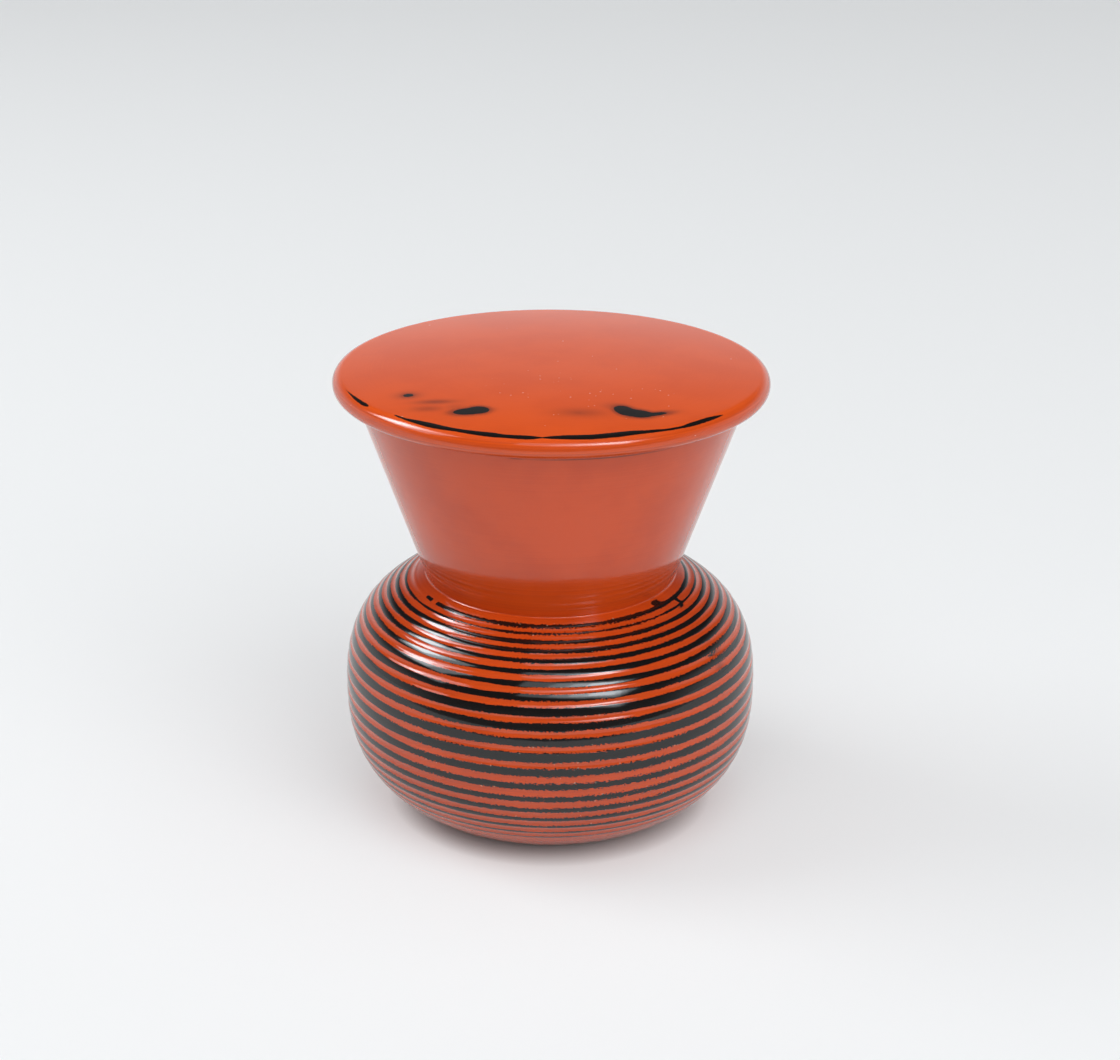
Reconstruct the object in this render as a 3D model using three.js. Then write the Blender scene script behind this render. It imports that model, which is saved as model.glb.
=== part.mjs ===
import * as THREE from 'three';

// A lacquer tea caddy of turned wood: a round grooved belly, a flared neck and a lid that lifts off.
// Millimetres, +Z up. The origin is the middle of the underside, on the surface it stands on.

// Outline of the body
const BASE_RADIUS = 18.5;
const BELLY_RADIUS = 33;
const EQUATOR_HEIGHT = 20.5;
const NECK_RADIUS = 19.95;
const NECK_HEIGHT = 39.5;
const RIM_RADIUS = 30.6;
const RIM_HEIGHT = 69.5;
const BASE_EDGE_ROUND = 0.5;
const RIM_ROUND = 0.5;

// How square the belly's curve is: 2 would be an ellipse
const UNDERSIDE_FULLNESS = 2.5;
const SHOULDER_FULLNESS = 2.7;

// Walls of the body
const BELLY_WALL = 3;
const NECK_WALL = 2.4;
const FLOOR_THICKNESS = 3;
const FLOOR_EDGE_INSET = 0.6;

// Turned rings of the belly, measured along its outline from the foot of the neck:
// high lands with shallow grooves between them, widest apart a little above the equator
const FIRST_LAND = 1.95;
const NARROW_PITCH = 1.45;
const WIDE_PITCH = 2.5;
const PITCH_SPREAD = 13.5;
const WIDEST_PITCH_RISE = 2.6;
const PLAIN_UNDERSIDE = 11;
const NARROW_LAND_SHARE = 0.28;
const WIDE_LAND_SHARE = 0.62;
const GROOVE_DEPTH = 0.15;

// The lid: a disc with a half-round edge and a low dome, and a plug ring that sits in the mouth
const LID_RADIUS = 34;
const LID_THICKNESS = 3.26;
const LID_DOME = 0.9;
const DOME_FULLNESS = 2.4;
const PLUG_DEPTH = 5;
const PLUG_WALL = 2.2;
const PLUG_ROUND = 0.5;
const PLUG_CLEARANCE = 0.3;
const RESTING_GAP = 0.3;

// Red lacquer
const BODY_RED = 0xc2452a;
const LID_RED = 0xd2542f;
const LACQUER_ROUGHNESS = 0.2;

// How finely the round forms are cut into facets
const SEGMENTS = 44;
const OUTLINE_SAMPLES = 400;
const UNDERSIDE_STEPS = 4;
const HOLLOW_STEPS = 7;
const BEAD_STEPS = 8;
const DOME_STEPS = 3;
const ROUND_STEPS = 2;

// A profile point: distance from the axis, and height
const at = (radius, height) => new THREE.Vector2(radius, height);

// Points of an arc in the profile, angles in degrees, 0 pointing outwards and 90 up
function arc(radius, height, size, fromAngle, toAngle, steps) {
  const points = [];
  for (let i = 0; i <= steps; i++) {
    const angle = THREE.MathUtils.degToRad(fromAngle + ((toAngle - fromAngle) * i) / steps);
    points.push(at(radius + size * Math.cos(angle), height + size * Math.sin(angle)));
  }
  return points;
}

// One half of the belly's curve: it leaves the equator upright and passes through an end point,
// reach is how far from the equator it would close on the axis
function halfBelly(radius, endRadius, endRise, fullness) {
  const reach = Math.abs(endRise) / (1 - (endRadius / radius) ** fullness) ** (1 / fullness);
  const endAngle = Math.atan2(endRise, endRadius);
  const pointAt = (angle) => {
    const across = (Math.cos(angle) / radius) ** fullness;
    const along = (Math.abs(Math.sin(angle)) / reach) ** fullness;
    const distance = (across + along) ** (-1 / fullness);
    return at(distance * Math.cos(angle), EQUATOR_HEIGHT + distance * Math.sin(angle));
  };
  return { endAngle, pointAt };
}

const shoulder = halfBelly(BELLY_RADIUS, NECK_RADIUS, NECK_HEIGHT - EQUATOR_HEIGHT, SHOULDER_FULLNESS);
const underside = halfBelly(BELLY_RADIUS, BASE_RADIUS, -EQUATOR_HEIGHT, UNDERSIDE_FULLNESS);

// The belly's outline from the foot of the neck down to the base, with its length so far at each point
function traceOutline() {
  const trace = [];
  let length = 0;
  for (let i = 0; i <= OUTLINE_SAMPLES; i++) {
    const angle = THREE.MathUtils.lerp(shoulder.endAngle, underside.endAngle, i / OUTLINE_SAMPLES);
    const point = (angle > 0 ? shoulder : underside).pointAt(angle);
    if (i > 0) length += point.distanceTo(trace[i - 1].point);
    trace.push({ angle, point, length });
  }
  return trace;
}

const outline = traceOutline();
const outlineLength = outline.at(-1).length;
const equatorLength = outline.find((sample) => sample.angle <= 0).length;

// The point of the outline at a given length, sunk into the wall by a depth
function outlinePoint(length, depth = 0) {
  const after = outline.findIndex((sample, i) => i > 0 && sample.length >= length);
  const low = outline[after - 1];
  const high = outline[after];
  const share = (length - low.length) / (high.length - low.length);
  const along = high.point.clone().sub(low.point).normalize();
  const point = low.point.clone().lerp(high.point, share);
  return point.add(at(along.y, -along.x).multiplyScalar(depth));
}

// 1 where the rings are widest apart, fading to 0 away from there
function nearnessToWidest(length) {
  const away = (length - equatorLength + WIDEST_PITCH_RISE) / PITCH_SPREAD;
  return Math.exp(-(away ** 2));
}

function pitchAt(length) {
  return THREE.MathUtils.lerp(NARROW_PITCH, WIDE_PITCH, nearnessToWidest(length));
}

function halfLandAt(length) {
  const share = THREE.MathUtils.lerp(NARROW_LAND_SHARE, WIDE_LAND_SHARE, nearnessToWidest(length));
  return (share * pitchAt(length)) / 2;
}

// Middles of the lands, from the neck down to the plain red underside
function landMiddles() {
  const middles = [];
  for (let length = FIRST_LAND; length < outlineLength - PLAIN_UNDERSIDE; length += pitchAt(length)) {
    middles.push(length);
  }
  return middles;
}

// The belly's outside with its rings, from the neck down
function ringedBelly() {
  const points = [];
  const middles = landMiddles();
  middles.forEach((middle, i) => {
    points.push(outlinePoint(middle - halfLandAt(middle)), outlinePoint(middle + halfLandAt(middle)));
    if (i < middles.length - 1) {
      points.push(outlinePoint((middle + middles[i + 1]) / 2, GROOVE_DEPTH));
    }
  });
  return points;
}

// The plain underside, from the last ring down to the base
function plainUnderside() {
  const lastMiddle = landMiddles().at(-1);
  const from = lastMiddle + halfLandAt(lastMiddle);
  const points = [];
  for (let i = 1; i < UNDERSIDE_STEPS; i++) {
    points.push(outlinePoint(THREE.MathUtils.lerp(from, outlineLength, i / UNDERSIDE_STEPS)));
  }
  return points;
}

// The hollow inside the belly, from the floor up to the waist
function hollowBelly() {
  const radius = BELLY_RADIUS - BELLY_WALL;
  const waist = NECK_RADIUS - NECK_WALL;
  const floorRadius = BASE_RADIUS - FLOOR_EDGE_INSET;
  const ceiling = NECK_HEIGHT - BELLY_WALL;
  const lower = halfBelly(radius, floorRadius, FLOOR_THICKNESS - EQUATOR_HEIGHT, UNDERSIDE_FULLNESS);
  const upper = halfBelly(radius, waist, ceiling - EQUATOR_HEIGHT, SHOULDER_FULLNESS);
  const points = [at(0, FLOOR_THICKNESS)];
  for (let i = 0; i < HOLLOW_STEPS; i++) {
    points.push(lower.pointAt(lower.endAngle * (1 - i / HOLLOW_STEPS)));
  }
  for (let i = 0; i <= HOLLOW_STEPS; i++) {
    points.push(upper.pointAt((upper.endAngle * i) / HOLLOW_STEPS));
  }
  return points;
}

// The neck's outside is a straight cone, and its inside is parallel to it
const neckSlope = (RIM_RADIUS - NECK_RADIUS) / (RIM_HEIGHT - NECK_HEIGHT);
const neckOutside = (height) => NECK_RADIUS + (height - NECK_HEIGHT) * neckSlope;
const neckInside = (height) => neckOutside(height) - NECK_WALL;

function rimEdge() {
  const height = RIM_HEIGHT - RIM_ROUND;
  return [
    ...arc(neckInside(height) + RIM_ROUND, height, RIM_ROUND, 180, 90, ROUND_STEPS),
    ...arc(neckOutside(height) - RIM_ROUND, height, RIM_ROUND, 90, 0, ROUND_STEPS),
  ];
}

function bodyProfile() {
  const hollow = hollowBelly();
  hollow.push(at(neckInside(NECK_HEIGHT), NECK_HEIGHT));
  return [
    ...hollow,
    ...rimEdge(),
    at(NECK_RADIUS, NECK_HEIGHT),
    ...ringedBelly(),
    ...plainUnderside(),
    at(BASE_RADIUS, BASE_EDGE_ROUND),
    at(BASE_RADIUS - BASE_EDGE_ROUND, 0),
    at(0, 0),
  ];
}

// The lid's underside rests on the rim, and its plug follows the inside of the mouth
function lidProfile() {
  const underside = RIM_HEIGHT + RESTING_GAP;
  const top = underside + LID_THICKNESS;
  const bead = LID_THICKNESS / 2;
  const beadRadius = LID_RADIUS - bead;
  const plugFoot = underside - PLUG_DEPTH;
  const plugOutside = (height) => neckInside(height) - PLUG_CLEARANCE;
  const plugInside = plugOutside(plugFoot) - PLUG_WALL;
  const dome = [];
  for (let i = 1; i <= DOME_STEPS; i++) {
    const share = 1 - i / DOME_STEPS;
    dome.push(at(beadRadius * share, top + LID_DOME * (1 - share ** DOME_FULLNESS)));
  }
  return [
    ...dome.reverse(),
    ...arc(beadRadius, underside + bead, bead, 90, -90, BEAD_STEPS),
    at(plugOutside(underside), underside),
    at(plugOutside(plugFoot + PLUG_ROUND), plugFoot + PLUG_ROUND),
    at(plugOutside(plugFoot) - PLUG_ROUND, plugFoot),
    at(plugInside + PLUG_ROUND, plugFoot),
    at(plugInside, plugFoot + PLUG_ROUND),
    at(plugInside, underside),
    at(0, underside),
  ];
}

// A turned solid about the Z axis. Its profile is drawn downwards on the outside, and turned upwards so
// that its faces point out
function turned(name, profile, color) {
  const geometry = new THREE.LatheGeometry(profile.reverse(), SEGMENTS);
  geometry.rotateX(Math.PI / 2);
  const material = new THREE.MeshStandardMaterial({ color, roughness: LACQUER_ROUGHNESS, metalness: 0 });
  const mesh = new THREE.Mesh(geometry, material);
  mesh.name = name;
  return mesh;
}

const caddy = new THREE.Group();
caddy.add(turned('body', bodyProfile(), BODY_RED));
caddy.add(turned('lid', lidProfile(), LID_RED));

export default caddy;
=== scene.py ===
import math

import bpy
import numpy as np
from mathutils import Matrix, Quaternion, Vector


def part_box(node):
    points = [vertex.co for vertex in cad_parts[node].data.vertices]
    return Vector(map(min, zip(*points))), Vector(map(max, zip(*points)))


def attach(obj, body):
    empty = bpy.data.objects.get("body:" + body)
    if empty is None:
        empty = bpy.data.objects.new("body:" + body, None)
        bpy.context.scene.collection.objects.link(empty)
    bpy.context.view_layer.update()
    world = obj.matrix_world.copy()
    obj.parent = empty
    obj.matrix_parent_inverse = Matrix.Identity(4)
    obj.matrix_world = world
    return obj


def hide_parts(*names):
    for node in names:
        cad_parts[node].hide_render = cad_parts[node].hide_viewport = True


# A lacquer tea caddy: red lacquer over black on turned wood, rubbed through to black on the rings.
# Lengths are in millimetres up to each mesh, which is in metres. Azimuths are in degrees round the
# turning axis: 0 faces the camera, and positive ones are to its right.
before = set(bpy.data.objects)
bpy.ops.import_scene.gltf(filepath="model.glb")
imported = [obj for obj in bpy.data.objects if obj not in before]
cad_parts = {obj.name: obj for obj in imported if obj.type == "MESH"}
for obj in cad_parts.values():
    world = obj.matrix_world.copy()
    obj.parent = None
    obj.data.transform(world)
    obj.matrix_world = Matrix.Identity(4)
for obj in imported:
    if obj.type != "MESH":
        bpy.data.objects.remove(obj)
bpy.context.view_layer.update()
MM = 0.001
_, body_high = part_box("body")
lid_low, lid_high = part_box("lid")

# Outline of the body
BASE_RADIUS = 18.5
BELLY_RADIUS = body_high.x / MM
EQUATOR_HEIGHT = 20.5
NECK_RADIUS = 19.95
NECK_HEIGHT = 39.5
RIM_RADIUS = 30.6
RIM_HEIGHT = body_high.z / MM
BASE_EDGE_ROUND = 0.5
RIM_ROUND = 0.5
UNDERSIDE_FULLNESS = 2.5
SHOULDER_FULLNESS = 2.7

# Walls
BELLY_WALL = 3
NECK_WALL = 2.4
FLOOR_THICKNESS = 3
FLOOR_EDGE_INSET = 0.6

# Rings of the belly, along its outline from the foot of the neck
FIRST_LAND = 1.95
NARROW_PITCH = 1.45
WIDE_PITCH = 2.5
PITCH_SPREAD = 13.5
WIDEST_PITCH_RISE = 2.6
PLAIN_UNDERSIDE = 11
NARROW_LAND_SHARE = 0.28
WIDE_LAND_SHARE = 0.62
GROOVE_DEPTH = 0.10
LAND_CROWN = 0.025
LAND_EDGE_ROUND = 0.05

# How wide the black shows on each ring, from the neck down
BLACK_WIDTHS = (
    0.75, 0.40, 0.75, 0.82, 0.80, 0.84, 0.88, 1.05, 1.34, 1.30,
    1.42, 1.60, 1.32, 1.12, 1.02, 1.02, 0.85, 0.66, 0.48, 0.34,
)

# Lid
LID_RADIUS = lid_high.x / MM
LID_TOP = lid_high.z / MM
LID_THICKNESS = 3.26
LID_DOME = 0.9
DOME_FULLNESS = 2.4
PLUG_WALL = 2.2
PLUG_ROUND = 0.5
PLUG_CLEARANCE = 0.3
PLUG_FOOT = lid_low.z / MM

# Wear along the lid's front edge: azimuth, how far below the top edge its middle runs, its width
EDGE_WEAR = (
    (-71, 0.55, 0.00), (-66, 0.52, 0.25), (-60, 0.58, 0.62), (-56.5, 0.60, 0.70), (-55, 0.60, 0.00),
    (-46, 0.05, 0.00), (-44, 0.15, 0.35), (-41, 0.25, 0.45), (-37, 0.12, 1.10), (-33, 0.10, 1.40),
    (-29, 0.16, 1.15), (-25, 0.17, 0.95), (-20, 0.18, 1.15), (-15, 0.20, 1.30), (-12, 0.33, 0.90),
    (-8, 0.34, 1.10), (-5, 0.35, 1.00), (-2.3, 0.40, 0.30), (0, 0.24, 0.90), (4, 0.14, 1.35),
    (10, 0.30, 1.25), (17, 0.18, 1.38), (21, 0.14, 1.30), (25, 0.45, 0.80), (30, 0.78, 0.42),
    (35, 0.90, 0.42), (38, 0.80, 0.82), (44, 0.72, 0.82), (47, 0.82, 0.50), (50, 0.95, 0.00),
)

# A thin line of painted shade round the front of the neck, just below the rim, where the lid's bead overhangs
# it: azimuth, height from the rim, strength
RIM_SHADE_LINE = (
    (-12, -0.72, 0.0), (-10, -0.72, 0.8), (-7, -0.72, 0.3), (-4, -0.72, 0.4), (2, -0.72, 0.8),
    (14, -0.74, 0.9), (26, -0.79, 0.8), (33, -0.83, 0.4), (37, -0.85, 0.0),
)
RIM_SHADE_LINE_REACH = 0.08

# Worn spots on the lid's top: x, y, length, width, turn in degrees
LID_SPOTS = (
    (10.9, -22.0, 4.6, 2.9, -60), (12.6, -22.9, 4.6, 3.1, -18), (15.0, -23.1, 4.2, 1.3, 24),
    (-11.9, -22.3, 5.2, 2.7, 10), (-10.8, -21.9, 3.4, 3.0, 0),
    (-21.4, -14.9, 1.6, 1.4, 0),
)
SPOT_HALO = 0.62
SPOT_HALO_REACH = 0.55

# Faint places where the red is thin: x, y, width, height, strength
LID_SMUDGES = (
    (-21.4, -14.9, 3.6, 3.0, 0.55), (-17.2, -18.1, 6.0, 1.8, 0.60), (-18.2, -20.9, 4.6, 2.2, 0.40),
    (4.2, -23.0, 7.5, 3.4, 0.35), (4.0, -23.1, 3.4, 1.8, 0.45), (-14.2, -20.4, 3.4, 2.6, 0.25),
    (9.2, -20.2, 3.4, 3.0, 0.30),
)

# Where dust lies on the lid: x, y, reach, strength
LID_DUST = ((-6.0, -13.0, 4.0, 0.8), (4.0, -9.5, 7.0, 1.0), (1.0, -24.0, 3.0, 0.5), (15.0, -15.0, 6.0, 0.4))

# Marks on the belly: azimuth, length along the outline, mark's width, its height, its turn in degrees
BELLY_MARKS = (
    (51.0, 1.0, 1.9, 1.0, 8), (53.0, 1.5, 1.4, 0.7, 0), (62.5, 2.8, 0.8, 2.4, -12),
    (61.0, 3.7, 1.7, 0.6, 25), (56.0, 12.9, 1.6, 0.5, 8), (2.5, 25.9, 5.8, 0.5, 0),
)

# Stains on the belly: azimuth, length along the outline, width, height, strength
BELLY_STAINS = (
    (58.0, 13.0, 3.2, 1.0, 0.35), (57.0, 15.2, 2.6, 1.1, 0.40), (61.5, 13.7, 2.4, 0.5, 0.4),
    (60.0, 3.9, 2.0, 0.5, 0.5),
)

# Where the red still covers a ring: length along the outline, first and last azimuth
COVERED_PLACES = ((1.95, -125, -63), (1.95, -57.5, -54.5))
COVER_REACH = 0.75

# Where the edges of the rings are most ragged: azimuth, length along the outline, reach of each, strength
RAGGED_PLACES = (
    (12, 2.4, 34, 1.8, 0.80), (-34, 4.5, 10, 2.6, 0.50), (10, 7, 26, 3.0, 0.35), (8, 15, 13, 3.5, 0.55),
    (14, 28, 40, 9.0, 0.85), (-32, 26, 14, 8, 0.35), (56, 13.5, 7, 2.2, 0.8),
)

# How finely the round forms are cut
SEGMENTS = 320
OUTLINE_SAMPLES = 4000
GROOVE_STEPS = 5
UNDERSIDE_STEPS = 14
HOLLOW_STEPS = 12
BEAD_STEPS = 36
DOME_STEPS = 60
ROUND_STEPS = 4
FOOT_STEPS = 6

# Rows of points down the neck, close together near its ends so that the flat run keeps straight
NECK_SUPPORTS = (
    0.003, 0.005, 0.0065, 0.008, 0.0095, 0.011, 0.013, 0.016, 0.02,
    0.1, 0.3, 0.5, 0.7, 0.9, 0.98, 0.996, 1.0,
)

# Signed distance in millimetres into the black that stands for all red, and for all black
ALL_RED = -3.0
ALL_BLACK = 3.0


def half_belly(radius, end_radius, end_rise, fullness):
    """One half of the belly's curve, from upright at the equator through an end point."""
    reach = abs(end_rise) / (1 - (end_radius / radius) ** fullness) ** (1 / fullness)
    end_angle = math.atan2(end_rise, end_radius)

    def point_at(angle):
        across = (math.cos(angle) / radius) ** fullness
        along = (abs(math.sin(angle)) / reach) ** fullness
        distance = (across + along) ** (-1 / fullness)
        return distance * math.cos(angle), EQUATOR_HEIGHT + distance * math.sin(angle)

    return end_angle, point_at


def trace_outline():
    """The belly's outline from the foot of the neck to the base: lengths, points and inward normals."""
    rise = NECK_HEIGHT - EQUATOR_HEIGHT
    top_angle, shoulder = half_belly(BELLY_RADIUS, NECK_RADIUS, rise, SHOULDER_FULLNESS)
    low_angle, underside = half_belly(BELLY_RADIUS, BASE_RADIUS, -EQUATOR_HEIGHT, UNDERSIDE_FULLNESS)
    angles = np.linspace(top_angle, low_angle, OUTLINE_SAMPLES + 1)
    points = np.array([(shoulder if angle > 0 else underside)(angle) for angle in angles])
    steps = np.hypot(*np.diff(points, axis=0).T)
    lengths = np.concatenate(([0], np.cumsum(steps)))
    along = np.gradient(points, lengths, axis=0)
    inwards = np.column_stack((along[:, 1], -along[:, 0]))
    equator_length = float(np.interp(0, -angles, lengths))
    return lengths, points, inwards, equator_length


outline_lengths, outline_points, outline_inwards, equator_length = trace_outline()
outline_length = outline_lengths[-1]


def outline_point(length, depth=0.0):
    """The point of the outline at a given length, sunk into the wall by a depth."""
    place = [np.interp(length, outline_lengths, outline_points[:, i]) for i in (0, 1)]
    inwards = [np.interp(length, outline_lengths, outline_inwards[:, i]) for i in (0, 1)]
    return place[0] + depth * inwards[0], place[1] + depth * inwards[1]


def lerp(low, high, share):
    return low + (high - low) * share


def nearness_to_widest(length):
    away = (length - equator_length + WIDEST_PITCH_RISE) / PITCH_SPREAD
    return math.exp(-(away ** 2))


def pitch_at(length):
    return lerp(NARROW_PITCH, WIDE_PITCH, nearness_to_widest(length))


def half_land_at(length):
    share = lerp(NARROW_LAND_SHARE, WIDE_LAND_SHARE, nearness_to_widest(length))
    return share * pitch_at(length) / 2


def land_middles():
    middles = []
    length = FIRST_LAND
    while length < outline_length - PLAIN_UNDERSIDE:
        middles.append(length)
        length += pitch_at(length)
    return middles


middles = land_middles()


def black_depth(length):
    """How far a place of the outline is inside the nearest black ring, below zero outside it."""
    return max(width / 2 - abs(length - middle) for middle, width in zip(middles, BLACK_WIDTHS))


def groove(start, end):
    """Points of one shallow groove between two lands, without its ends."""
    points = []
    for i in range(1, GROOVE_STEPS):
        share = i / GROOVE_STEPS
        length = lerp(start, end, share)
        depth = LAND_CROWN + GROOVE_DEPTH * (1 - (2 * share - 1) ** 2)
        points.append((*outline_point(length, depth), length))
    return points


def ringed_belly():
    """The belly's outside from the neck down: radius, height, length along the outline."""
    first = middles[0] - half_land_at(middles[0])
    points = [(*outline_point(first * i / FOOT_STEPS), first * i / FOOT_STEPS) for i in range(1, FOOT_STEPS)]
    for i, middle in enumerate(middles):
        half = half_land_at(middle)
        inner = half - LAND_EDGE_ROUND
        for offset in (-half, -inner, -inner / 2, 0, inner / 2, inner, half):
            depth = LAND_CROWN * (offset / half) ** 2
            points.append((*outline_point(middle + offset, depth), middle + offset))
        if i + 1 < len(middles):
            next_middle = middles[i + 1]
            points += groove(middle + half, next_middle - half_land_at(next_middle))
    last = middles[-1] + half_land_at(middles[-1])
    for i in range(1, UNDERSIDE_STEPS):
        length = lerp(last, outline_length, i / UNDERSIDE_STEPS)
        points.append((*outline_point(length), length))
    return points


def arc(radius, height, size, from_angle, to_angle, steps):
    """Points of an arc in the profile, angles in degrees, 0 outwards and 90 up."""
    points = []
    for i in range(steps + 1):
        angle = math.radians(lerp(from_angle, to_angle, i / steps))
        points.append((radius + size * math.cos(angle), height + size * math.sin(angle)))
    return points


def hollow_belly():
    """The hollow inside the belly, from the middle of its floor up to the waist."""
    radius = BELLY_RADIUS - BELLY_WALL
    waist = NECK_RADIUS - NECK_WALL
    floor_radius = BASE_RADIUS - FLOOR_EDGE_INSET
    ceiling = NECK_HEIGHT - BELLY_WALL
    low_angle, lower = half_belly(radius, floor_radius, FLOOR_THICKNESS - EQUATOR_HEIGHT, UNDERSIDE_FULLNESS)
    top_angle, upper = half_belly(radius, waist, ceiling - EQUATOR_HEIGHT, SHOULDER_FULLNESS)
    points = [(0, FLOOR_THICKNESS)]
    points += [lower(low_angle * (1 - i / HOLLOW_STEPS)) for i in range(HOLLOW_STEPS)]
    points += [upper(top_angle * i / HOLLOW_STEPS) for i in range(HOLLOW_STEPS + 1)]
    return points


def neck_outside(height):
    slope = (RIM_RADIUS - NECK_RADIUS) / (RIM_HEIGHT - NECK_HEIGHT)
    return NECK_RADIUS + (height - NECK_HEIGHT) * slope


def neck_inside(height):
    return neck_outside(height) - NECK_WALL


def body_profile():
    """The body's profile, from its floor inside over the rim and down outside: radius, height, way, black."""
    rim = RIM_HEIGHT - RIM_ROUND
    inside = hollow_belly() + [(neck_inside(NECK_HEIGHT), NECK_HEIGHT)]
    inner_rim = arc(neck_inside(rim) + RIM_ROUND, rim, RIM_ROUND, 180, 90, ROUND_STEPS)
    outer_rim = arc(neck_outside(rim) - RIM_ROUND, rim, RIM_ROUND, 90, 0, ROUND_STEPS)
    profile = [(*point, 0, ALL_BLACK) for point in inside + inner_rim]
    profile += [(*point, point[1] - RIM_HEIGHT, ALL_RED) for point in outer_rim]
    for share in NECK_SUPPORTS:
        height = lerp(RIM_HEIGHT - RIM_ROUND, NECK_HEIGHT, share)
        profile.append((neck_outside(height), height, height - RIM_HEIGHT, ALL_RED))
    profile += [(radius, height, way, black_depth(way)) for radius, height, way in ringed_belly()]
    profile.append((BASE_RADIUS, BASE_EDGE_ROUND, outline_length, ALL_RED))
    profile.append((BASE_RADIUS - BASE_EDGE_ROUND, 0, outline_length, ALL_RED))
    profile.append((0, 0, outline_length, ALL_RED))
    return profile


def lid_profile():
    """The lid's profile, from the middle of its top over its edge to the middle of its underside."""
    top = LID_TOP - LID_DOME
    underside = top - LID_THICKNESS
    bead = LID_THICKNESS / 2
    bead_radius = LID_RADIUS - bead

    def plug_outside(height):
        return neck_inside(height) - PLUG_CLEARANCE

    plug_inside = plug_outside(PLUG_FOOT) - PLUG_WALL
    profile = []
    for i in range(DOME_STEPS):
        share = i / DOME_STEPS
        height = top + LID_DOME * (1 - share ** DOME_FULLNESS)
        profile.append((bead_radius * share, height, bead_radius * (share - 1), ALL_RED))
    dome_slope = math.degrees(math.atan(LID_DOME * DOME_FULLNESS / bead_radius))
    for i, point in enumerate(arc(bead_radius, underside + bead, bead, 90 - dome_slope, -90, BEAD_STEPS)):
        turned_by = lerp(dome_slope, 180, i / BEAD_STEPS)
        profile.append((*point, math.radians(turned_by) * bead, ALL_RED))
    below = [
        (plug_outside(underside) + PLUG_ROUND, underside),
        (plug_outside(underside), underside),
        (plug_outside(PLUG_FOOT + PLUG_ROUND), PLUG_FOOT + PLUG_ROUND),
        (plug_outside(PLUG_FOOT) - PLUG_ROUND, PLUG_FOOT),
        (plug_inside + PLUG_ROUND, PLUG_FOOT),
        (plug_inside, PLUG_FOOT + PLUG_ROUND),
        (plug_inside, underside),
        (0, underside),
    ]
    profile += [(*point, math.pi * bead, ALL_BLACK) for point in below]
    return profile


def turned(name, profile, add_marks):
    """A turned piece, with its way along the profile and its wear and painted shade at each vertex."""
    radii, heights, ways, blacks = (np.array(column, float) for column in zip(*profile))
    turns = np.arange(SEGMENTS) * 2 * math.pi / SEGMENTS
    azimuths = np.degrees((turns + math.pi) % (2 * math.pi) - math.pi)
    vertices = []
    values = {"way": [], "black": [], "smudge_and_shade": [], "ragged": []}
    rows = []
    for radius, height, way, black in zip(radii, heights, ways, blacks):
        count = SEGMENTS if radius > 0 else 1
        rows.append((len(vertices), count))
        for turn in turns[:count]:
            vertices.append((radius * math.sin(turn) * MM, -radius * math.cos(turn) * MM, height * MM))
        marks = add_marks(azimuths[:count], radius, way, np.full(count, black))
        for key, row in zip(values, (np.full(count, way), *marks)):
            values[key] += list(row)
    faces = []
    for (first, count), (second, next_count) in zip(rows, rows[1:]):
        for k in range(SEGMENTS):
            after = (k + 1) % SEGMENTS
            if count == 1:
                faces.append((first, second + k, second + after))
            elif next_count == 1:
                faces.append((first + k, second, first + after))
            else:
                faces.append((first + k, second + k, second + after, first + after))
    mesh = bpy.data.meshes.new(name)
    mesh.from_pydata(vertices, [], faces)
    mesh.polygons.foreach_set("use_smooth", [True] * len(faces))
    for key, column in values.items():
        mesh.attributes.new(key, "FLOAT", "POINT").data.foreach_set("value", column)
    mesh.update()
    piece = bpy.data.objects.new(name, mesh)
    bpy.context.collection.objects.link(piece)
    return piece


def spot_depth(across, along, width, height, turn):
    """Signed distance, about, into an oval spot of a given width and height, turned by some degrees."""
    cos, sin = math.cos(math.radians(turn)), math.sin(math.radians(turn))
    u = (across * cos + along * sin) / (width / 2)
    v = (along * cos - across * sin) / (height / 2)
    return (1 - np.hypot(u, v)) * min(width, height) / 2


def mark_belly(azimuths, radius, way, blacks):
    """The body's wear and painted shade: a painted shade line below its rim, stray marks and stains, and
    where edges are ragged.
    """
    smudge_and_shade = np.zeros_like(blacks)
    ragged = np.zeros_like(blacks)
    if blacks[0] == ALL_BLACK:
        return blacks, smudge_and_shade, ragged
    if way <= 0:
        # On the neck: only the painted shade line below the rim, in the same channel as the smudges
        line_azimuths, line_heights, line_strengths = zip(*RIM_SHADE_LINE)
        away = (way - np.interp(azimuths, line_azimuths, line_heights)) / RIM_SHADE_LINE_REACH
        smudge_and_shade = np.interp(azimuths, line_azimuths, line_strengths) * np.exp(-(away ** 2))
        return blacks, smudge_and_shade, ragged
    for azimuth, stain_way, width, stain_height, strength in BELLY_STAINS:
        across = np.radians(azimuths - azimuth) * radius
        away = np.hypot(across / (width / 2), (way - stain_way) / (stain_height / 2))
        smudge_and_shade = np.maximum(smudge_and_shade, strength * np.exp(-(away ** 4)))
    for azimuth, ragged_way, azimuth_reach, way_reach, strength in RAGGED_PLACES:
        away = np.hypot((azimuths - azimuth) / azimuth_reach, (way - ragged_way) / way_reach)
        ragged = np.maximum(ragged, strength * np.exp(-(away ** 2)))
    for ring_way, first, last in COVERED_PLACES:
        if abs(way - ring_way) < COVER_REACH:
            inside = np.minimum(azimuths - first, last - azimuths)
            blacks = np.minimum(blacks, -np.radians(inside) * radius)
    for azimuth, mark_way, width, mark_height, turn in BELLY_MARKS:
        across = np.radians(azimuths - azimuth) * radius
        blacks = np.maximum(blacks, spot_depth(across, mark_way - way, width, mark_height, turn))
    return blacks, smudge_and_shade, ragged


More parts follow.
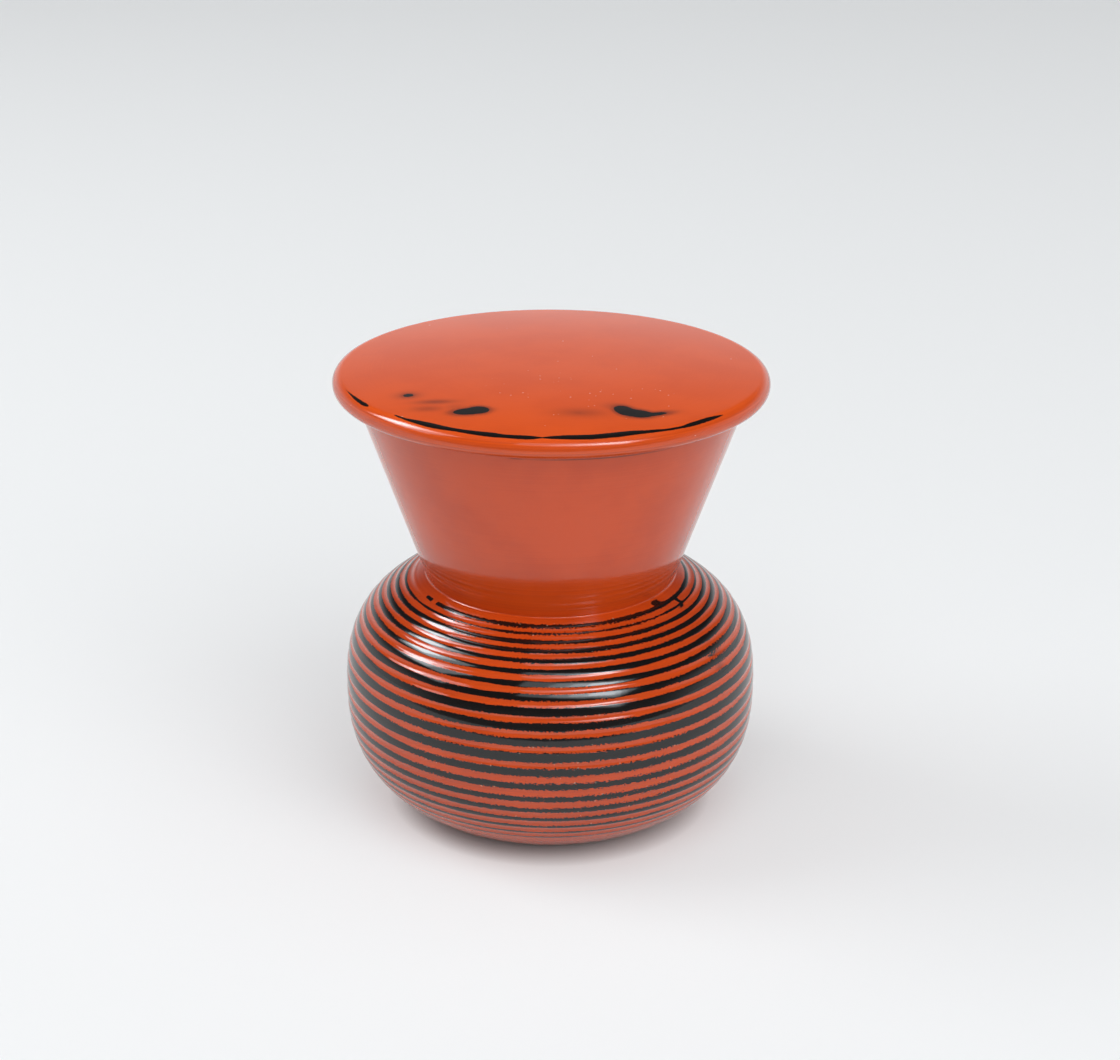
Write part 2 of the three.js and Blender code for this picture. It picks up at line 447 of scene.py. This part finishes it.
def mark_lid(azimuths, radius, way, blacks):
    """The lid's wear: its front edge, the spots and faint smudges on its top, and where dust lies."""
    smudge_and_shade = np.zeros_like(blacks)
    ragged = np.zeros_like(blacks)
    if blacks[0] == ALL_BLACK:
        return blacks, smudge_and_shade, ragged
    wear_azimuths, wear_ways, wear_widths = zip(*EDGE_WEAR)
    middle = np.interp(azimuths, wear_azimuths, wear_ways)
    width = np.interp(azimuths, wear_azimuths, wear_widths)
    worn = np.where(width > 0, width / 2 - np.abs(way - middle), ALL_RED)
    blacks = np.maximum(blacks, worn)
    if way < 0:
        x = radius * np.sin(np.radians(azimuths))
        y = -radius * np.cos(np.radians(azimuths))
        for spot_x, spot_y, length, spot_width, turn in LID_SPOTS:
            depth = spot_depth(x - spot_x, y - spot_y, length, spot_width, turn)
            blacks = np.maximum(blacks, depth)
            halo = SPOT_HALO * np.exp(-((np.minimum(depth, 0) / SPOT_HALO_REACH) ** 2))
            smudge_and_shade = np.maximum(smudge_and_shade, halo)
        for smudge_x, smudge_y, width, height, strength in LID_SMUDGES:
            away = np.hypot((x - smudge_x) / (width / 2), (y - smudge_y) / (height / 2))
            smudge_and_shade = np.maximum(smudge_and_shade, strength * np.exp(-(away ** 2)))
        for dust_x, dust_y, reach, strength in LID_DUST:
            away = np.hypot(x - dust_x, y - dust_y) / reach
            ragged = np.maximum(ragged, strength * np.exp(-(away ** 2)))
    return blacks, smudge_and_shade, ragged


class Nodes:
    """Short calls for building one material's nodes."""

    def __init__(self, name):
        self.material = bpy.data.materials.new(name)
        self.material.use_nodes = True
        self.tree = self.material.node_tree
        self.shader = self.tree.nodes["Principled BSDF"]

    def add(self, kind, **settings):
        node = self.tree.nodes.new(kind)
        for key, value in settings.items():
            setattr(node, key, value)
        return node

    def feed(self, socket, value):
        if isinstance(value, bpy.types.NodeSocket):
            self.tree.links.new(value, socket)
        else:
            socket.default_value = value

    def math(self, operation, first, second=0.0, third=0.0):
        node = self.add("ShaderNodeMath", operation=operation)
        for socket, value in zip(node.inputs, (first, second, third)):
            self.feed(socket, value)
        return node.outputs[0]

    def attribute(self, name):
        return self.add("ShaderNodeAttribute", attribute_name=name).outputs["Fac"]

    def place(self):
        """The object's own coordinates in millimetres."""
        texture = self.add("ShaderNodeTexCoord")
        scale = self.add("ShaderNodeVectorMath", operation="SCALE")
        self.feed(scale.inputs[0], texture.outputs["Object"])
        self.feed(scale.inputs["Scale"], 1 / MM)
        return scale.outputs[0]

    def noise(self, vector, scale, detail=2.0, roughness=0.5):
        node = self.add("ShaderNodeTexNoise")
        self.feed(node.inputs["Vector"], vector)
        self.feed(node.inputs["Scale"], scale)
        self.feed(node.inputs["Detail"], detail)
        self.feed(node.inputs["Roughness"], roughness)
        return node.outputs["Fac"]

    def specks(self, vector, per_mm, size, share):
        """Small round specks of a size in millimetres, in a share of the cells of a Voronoi pattern."""
        node = self.add("ShaderNodeTexVoronoi")
        self.feed(node.inputs["Vector"], vector)
        self.feed(node.inputs["Scale"], per_mm)
        chosen = self.add("ShaderNodeSeparateColor")
        self.feed(chosen.inputs[0], node.outputs["Color"])
        reach = self.math("MULTIPLY", chosen.outputs[1], size * per_mm / 2)
        inside = self.math("LESS_THAN", node.outputs["Distance"], reach)
        return self.math("MULTIPLY", inside, self.math("LESS_THAN", chosen.outputs[0], share))

    def ramp(self, value, low, high, to_low=0.0, to_high=1.0, smooth=True):
        node = self.add("ShaderNodeMapRange", interpolation_type="SMOOTHSTEP" if smooth else "LINEAR")
        for name, setting in (("Value", value), ("From Min", low), ("From Max", high)):
            self.feed(node.inputs[name], setting)
        self.feed(node.inputs["To Min"], to_low)
        self.feed(node.inputs["To Max"], to_high)
        return node.outputs["Result"]

    def mix(self, share, first, second):
        node = self.add("ShaderNodeMix", data_type="RGBA")
        self.feed(node.inputs[0], share)
        self.feed(node.inputs[6], first)
        self.feed(node.inputs[7], second)
        return node.outputs[2]

    def split(self, vector):
        node = self.add("ShaderNodeSeparateXYZ")
        self.feed(node.inputs[0], vector)
        return node.outputs

    def combine(self, x, y, z):
        node = self.add("ShaderNodeCombineXYZ")
        for socket, value in zip(node.inputs, (x, y, z)):
            self.feed(socket, value)
        return node.outputs[0]


# Colours of the lacquer, linear
BODY_RED = (0.565, 0.062, 0.0065, 1)
BODY_DEEP_RED = (0.51, 0.053, 0.0055, 1)
# Painted shade: darker red for the underside of the belly and the foot of the neck, and for the lid's edge
SHADED_LOW_RED = (0.27, 0.034, 0.008, 1)
SHADED_EDGE_RED = (0.50, 0.056, 0.006, 1)
LID_RED = (0.71, 0.088, 0.010, 1)
LID_DEEP_RED = (0.67, 0.080, 0.009, 1)
THIN_RED = (0.16, 0.030, 0.012, 1)
BLACK = (0.006, 0.0045, 0.004, 1)
# Brown of the smudges and stains, also used for the painted shade line below the neck's rim
SMUDGE_AND_SHADE_BROWN = (0.036, 0.014, 0.010, 1)
DUST = (0.80, 0.55, 0.38, 1)

# The two lacquers. The red darkens by a share towards a shaded red, from one way along the profile to
# another: a little over the whole belly, and as painted shade towards its base, towards the foot of the neck,
# and on the lid's edge
BODY_LACQUER = {
    "red": BODY_RED,
    "deep_red": BODY_DEEP_RED,
    "shaded_red": SHADED_LOW_RED,
    "tone_and_shade": ((0, 0.3, 0.16), (24, outline_length, 0.50), (-18, -26, 0.24)),
    "wander_reach": 0.18,
    "tooth_reach": 0.72,
    "matt": 0.05,
    "dusty": 0,
}
LID_LACQUER = {
    "red": LID_RED,
    "deep_red": LID_DEEP_RED,
    "shaded_red": SHADED_EDGE_RED,
    "tone_and_shade": ((0.3, 1.6, 0.75),),
    "wander_reach": 0.08,
    "tooth_reach": 0.30,
    "matt": 0.10,
    "dusty": 1,
}

# Edge of the black: the size of its wander and of the patches with teeth, and the teeth themselves
WANDER_SIZE = 6.0
PATCH_SIZE = 8.0
TEETH_PER_MM = 3.8
TEETH_AROUND = 0.7
TEETH_ACROSS = 1.25
THIN_EDGE = 0.08

# Sizes in millimetres of the cloudy tone, the rubbed gloss and the coat's unevenness, and its depth
CLOUD_SIZE = 11.0
RUB_SIZE = 3.0
UNEVEN_SIZE = 1.6
UNEVEN_DEPTH = 0.012
LINES_PER_MM = 3.5

# Chips along the edges and specks of dust: how many cells to a millimetre, and their size
CHIPS_PER_MM = 1.9
CHIP_SIZE = 0.34
CHIP_SHARE = 0.30
CHIP_REACH = 0.16
DUST_PER_MM = 1.1
DUST_SIZE = 0.32

# Gloss of the lacquer
ROUGHNESS_SPREAD = 0.05
WORN_ROUGHNESS = 0.03
LACQUER_IOR = 1.55


def lacquer(name, red, deep_red, shaded_red, tone_and_shade, wander_reach, tooth_reach, matt, dusty):
    """Glossy red lacquer over black, rubbed through where the black attribute is above zero."""
    nodes = Nodes(name)
    place = nodes.place()
    black = nodes.attribute("black")
    way = nodes.attribute("way")

    # The black's edge wanders slowly, with fine teeth that come and go
    wander = nodes.noise(place, 1 / WANDER_SIZE, detail=1.0)
    wander = nodes.math("MULTIPLY_ADD", wander, 2 * wander_reach, -wander_reach)
    x, y, _ = nodes.split(place)
    around = (nodes.math("MULTIPLY", x, TEETH_AROUND), nodes.math("MULTIPLY", y, TEETH_AROUND))
    teeth_place = nodes.combine(*around, nodes.math("MULTIPLY", way, TEETH_ACROSS))
    teeth = nodes.noise(teeth_place, TEETH_PER_MM, detail=2.0, roughness=0.6)
    teeth = nodes.math("MULTIPLY_ADD", teeth, 2 * tooth_reach, -tooth_reach)
    patchy = nodes.ramp(nodes.noise(place, 1 / PATCH_SIZE, detail=1.0), 0.40, 0.58, 0.06, 0.34)
    ragged = nodes.attribute("ragged")
    patchy = nodes.math("ADD", patchy, ragged)
    teeth = nodes.math("MULTIPLY", teeth, patchy)
    depth = nodes.math("ADD", nodes.math("ADD", black, wander), teeth)
    worn = nodes.ramp(depth, -0.025, 0.035)
    thin = nodes.ramp(depth, -THIN_EDGE, 0.0, 0.0, 0.55)

    # The red varies a little from place to place, and the turning leaves faint lines
    cloudy = nodes.noise(place, 1 / CLOUD_SIZE, detail=3.0)
    line_place = nodes.combine(nodes.math("MULTIPLY", way, LINES_PER_MM), 0.0, 0.0)
    lines = nodes.noise(line_place, 1.0, detail=2.0)
    tone = nodes.math("ADD", nodes.math("MULTIPLY", cloudy, 0.75), nodes.math("MULTIPLY", lines, 0.25))
    colour = nodes.mix(nodes.ramp(tone, 0.40, 0.62), red, deep_red)
    streaks = nodes.ramp(lines, 0.3, 0.7, 0.5, 1.5, smooth=False)
    # Darken towards the shaded red, broken by the turning lines: painted shade, apart from the slight
    # darkening of the whole belly
    for start, end, share in tone_and_shade:
        share = nodes.math("MULTIPLY", nodes.ramp(way, start, end, 0.0, share, smooth=False), streaks)
        colour = nodes.mix(share, colour, shaded_red)
    # Brown smudges, stains and halos, and the painted shade line below the rim
    colour = nodes.mix(nodes.attribute("smudge_and_shade"), colour, SMUDGE_AND_SHADE_BROWN)
    colour = nodes.mix(thin, colour, THIN_RED)
    colour = nodes.mix(worn, colour, BLACK)

    # Tiny chips along the ragged edges, and a few specks of dust
    edge = nodes.math("LESS_THAN", nodes.math("ABSOLUTE", depth), CHIP_REACH)
    chips = nodes.specks(place, CHIPS_PER_MM, CHIP_SIZE, CHIP_SHARE)
    chips = nodes.math("MULTIPLY", nodes.math("MULTIPLY", chips, edge), nodes.ramp(ragged, 0.15, 0.4))
    dust_share = nodes.math("MULTIPLY_ADD", ragged, 0.85 * dusty, 0.02 * dusty)
    dust = nodes.specks(place, DUST_PER_MM, DUST_SIZE, dust_share)
    pale = nodes.math("MAXIMUM", nodes.math("MULTIPLY", chips, 0.28), nodes.math("MULTIPLY", dust, 0.6))
    colour = nodes.mix(pale, colour, DUST)
    nodes.feed(nodes.shader.inputs["Base Color"], colour)

    # Polished lacquer: a sharp gloss, softened here and there
    rub = nodes.noise(place, 1 / RUB_SIZE, detail=4.0, roughness=0.6)
    gloss = nodes.ramp(rub, 0.3, 0.7, matt, matt + ROUGHNESS_SPREAD, smooth=False)
    gloss = nodes.math("MULTIPLY_ADD", worn, WORN_ROUGHNESS, gloss)
    nodes.feed(nodes.shader.inputs["Roughness"], gloss)
    nodes.feed(nodes.shader.inputs["IOR"], LACQUER_IOR)

    # Slight unevenness of the brushed coat
    bump = nodes.add("ShaderNodeBump")
    uneven = nodes.noise(place, 1 / UNEVEN_SIZE, detail=2.0)
    nodes.feed(bump.inputs["Height"], uneven)
    nodes.feed(bump.inputs["Strength"], 1.0)
    nodes.feed(bump.inputs["Distance"], UNEVEN_DEPTH * MM)
    nodes.feed(nodes.shader.inputs["Normal"], bump.outputs[0])
    return nodes.material


def build_caddy():
    body = turned("turned_body", body_profile(), mark_belly)
    body.data.materials.append(lacquer("body_lacquer", **BODY_LACQUER))
    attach(body, "root")
    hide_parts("body")

    lid = turned("turned_lid", lid_profile(), mark_lid)
    lid.data.materials.append(lacquer("lid_lacquer", **LID_LACQUER))
    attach(lid, "root")
    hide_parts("lid")


# Setting: a pale table and a backdrop, in metres. The lacquer reflects the table only from its front on.
# The table glows with painted light that lifts the shadows, dimmed as a painted contact shadow where the
# caddy stands close to it
TABLE_FRONT = -0.16
TABLE_BACK = 1.3
TABLE_SIDE = 1.3
TABLE_COLOUR = (0.52, 0.533, 0.54, 1)
PAINTED_TABLE_GLOW = (0.30, 0.305, 0.308, 1)
PAINTED_CONTACT_SHADOW_REACH = 0.0035
BACKDROP_RADIUS = 1.8
BACKDROP_HEIGHT = 1.6
BACKDROP_SEGMENTS = 96
BACKDROP_COLOUR = (0.80, 0.815, 0.83, 1)


def stage_mesh(name, vertices, faces, material):
    mesh = bpy.data.meshes.new(name)
    mesh.from_pydata(vertices, [], faces)
    piece = bpy.data.objects.new(name, mesh)
    bpy.context.collection.objects.link(piece)
    piece.data.materials.append(material)
    return piece


def build_table():
    """The table in two parts, of which only the further one is reflected."""
    nodes = Nodes("pale_table")
    nodes.feed(nodes.shader.inputs["Base Color"], TABLE_COLOUR)
    # Painted light: the table glows, and a painted contact shadow dims the glow close to the caddy
    nodes.feed(nodes.shader.inputs["Emission Color"], PAINTED_TABLE_GLOW)
    contact_shadow = nodes.add("ShaderNodeAmbientOcclusion", samples=8)
    nodes.feed(contact_shadow.inputs["Distance"], PAINTED_CONTACT_SHADOW_REACH)
    nodes.feed(nodes.shader.inputs["Emission Strength"], contact_shadow.outputs["AO"])
    nodes.feed(nodes.shader.inputs["Roughness"], 0.9)
    nodes.feed(nodes.shader.inputs["Specular IOR Level"], 0.2)
    parts = (("table", TABLE_FRONT, TABLE_BACK), ("table_front", -TABLE_BACK, TABLE_FRONT))
    for name, front, back in parts:
        near = [(-TABLE_SIDE, front, 0), (TABLE_SIDE, front, 0)]
        far = [(TABLE_SIDE, back, 0), (-TABLE_SIDE, back, 0)]
        table = stage_mesh(name, near + far, [(0, 1, 2, 3)], nodes.material)
        table.visible_glossy = name == "table"


def build_backdrop():
    """A pale wall all round, beyond the table."""
    nodes = Nodes("pale_backdrop")
    nodes.feed(nodes.shader.inputs["Base Color"], (0, 0, 0, 1))
    nodes.feed(nodes.shader.inputs["Emission Color"], BACKDROP_COLOUR)
    nodes.feed(nodes.shader.inputs["Emission Strength"], 1.0)
    vertices = []
    for i in range(BACKDROP_SEGMENTS):
        turn = 2 * math.pi * i / BACKDROP_SEGMENTS
        x, y = BACKDROP_RADIUS * math.cos(turn), BACKDROP_RADIUS * math.sin(turn)
        vertices += [(x, y, -BACKDROP_HEIGHT), (x, y, BACKDROP_HEIGHT)]
    count = len(vertices)
    faces = [(i, (i + 2) % count, (i + 3) % count, i + 1) for i in range(0, count, 2)]
    backdrop = stage_mesh("backdrop", vertices, faces, nodes.material)
    backdrop.visible_glossy = False
    backdrop.visible_diffuse = False
    backdrop.visible_shadow = False


# Softboxes: azimuth, elevation, distance, width and height in metres, turn, radiance, what they add
GLOSS = "gloss"
LIGHT = "light"
SOFTBOXES = {
    "left_core": (-103, 42, 1.0, 0.28, 0.24, 0, 9.0, GLOSS),
    "left_middle": (-99, 42, 1.005, 0.48, 0.38, 0, 4.0, GLOSS),
    "left_halo": (-91, 41, 1.01, 0.78, 0.48, 0, 2.8, GLOSS),
    "left_light": (-99, 42, 1.0, 0.60, 0.40, 0, 4.6, LIGHT),
    "right_core": (33, 34, 1.0, 0.26, 0.19, -30, 5.5, GLOSS),
    "right_middle": (29, 35, 1.005, 0.48, 0.25, -30, 3.4, GLOSS),
    "right_outer": (25, 36, 1.01, 0.72, 0.36, -30, 2.0, GLOSS),
    "right_halo": (18, 39, 1.015, 1.10, 0.50, -25, 1.4, GLOSS),
    "right_light": (29, 34, 1.0, 0.60, 0.40, 0, 1.9, LIGHT),
    "front_fill": (20, 41, 2.2, 3.2, 2.2, 0, 1.60, LIGHT),
    "top_fill": (6, 76, 2.4, 3.4, 3.0, 0, 1.24, LIGHT),
}
SOFTBOX_COLOUR = (0.89, 0.95, 1.0)
AIM_HEIGHT = 0.04


def build_softbox(name, azimuth, elevation, distance, width, height, turn, radiance, adds):
    """A flat light facing the caddy. It adds a reflection of its radiance, or a soft light without one."""
    light = bpy.data.lights.new(name, "AREA")
    light.shape = "RECTANGLE"
    light.size = width
    light.size_y = height
    light.energy = radiance * math.pi * width * height
    if adds == GLOSS:
        light.color = SOFTBOX_COLOUR
    az, el = math.radians(azimuth), math.radians(elevation)
    outwards = Vector((math.sin(az) * math.cos(el), -math.cos(az) * math.cos(el), math.sin(el)))
    lamp = bpy.data.objects.new(name, light)
    lamp.location = Vector((0, 0, AIM_HEIGHT)) + outwards * distance
    roll = Quaternion((0, 0, 1), math.radians(turn))
    lamp.rotation_euler = (outwards.to_track_quat("Z", "Y") @ roll).to_euler()
    lamp.visible_glossy = adds == GLOSS
    lamp.visible_diffuse = adds == LIGHT
    bpy.context.collection.objects.link(lamp)


# The room: pale low down behind the caddy, dark in front of it and overhead
ROOM_PALE = (0.80, 0.82, 0.84, 1)
ROOM_DARK = (0.05, 0.05, 0.054, 1)
PALE_UP_TO = 0.05
DARK_FROM = 0.47
FRONT_SHARE = 0.12


def build_room():
    world = bpy.data.worlds.new("studio")
    world.use_nodes = True
    tree = world.node_tree
    background = tree.nodes["Background"]
    direction = tree.nodes.new("ShaderNodeTexCoord")
    axes = tree.nodes.new("ShaderNodeSeparateXYZ")
    tree.links.new(direction.outputs["Generated"], axes.inputs[0])

    def ramp(value, low, high, to_low, to_high):
        node = tree.nodes.new("ShaderNodeMapRange")
        node.interpolation_type = "SMOOTHSTEP"
        tree.links.new(value, node.inputs["Value"])
        for name, setting in (("From Min", low), ("From Max", high), ("To Min", to_low), ("To Max", to_high)):
            node.inputs[name].default_value = setting
        return node.outputs["Result"]

    height = ramp(axes.outputs["Z"], PALE_UP_TO, DARK_FROM, 1, 0)
    depth = ramp(axes.outputs["Y"], -0.6, 0.3, FRONT_SHARE, 1)
    share = tree.nodes.new("ShaderNodeMath")
    share.operation = "MULTIPLY"
    tree.links.new(height, share.inputs[0])
    tree.links.new(depth, share.inputs[1])
    mix = tree.nodes.new("ShaderNodeMix")
    mix.data_type = "RGBA"
    tree.links.new(share.outputs[0], mix.inputs[0])
    mix.inputs[6].default_value = ROOM_DARK
    mix.inputs[7].default_value = ROOM_PALE
    tree.links.new(mix.outputs[2], background.inputs["Color"])
    bpy.context.scene.world = world


# Camera: place and aim in metres, roll in degrees, lens and sensor in millimetres
CAMERA_PLACE = (0, -0.36329, 0.18788)
CAMERA_AIM = (0.00146, 0, 0.04609)
CAMERA_ROLL = 0.302
CAMERA_LENS = 78.68
SENSOR_WIDTH = 36


def build_camera():
    data = bpy.data.cameras.new("camera")
    data.lens = CAMERA_LENS
    data.sensor_width = SENSOR_WIDTH
    data.sensor_fit = "HORIZONTAL"
    data.clip_start = 0.01
    camera = bpy.data.objects.new("camera", data)
    place = Vector(CAMERA_PLACE)
    aim = (Vector(CAMERA_AIM) - place).to_track_quat("-Z", "Y")
    roll = Quaternion((0, 0, 1), math.radians(CAMERA_ROLL))
    camera.location = place
    camera.rotation_euler = (aim @ roll).to_euler()
    bpy.context.collection.objects.link(camera)
    bpy.context.scene.camera = camera


build_camera()
build_room()
for softbox, settings in SOFTBOXES.items():
    build_softbox(softbox, *settings)
build_table()
build_backdrop()
build_caddy()
bpy.context.scene.view_settings.view_transform = "Standard"
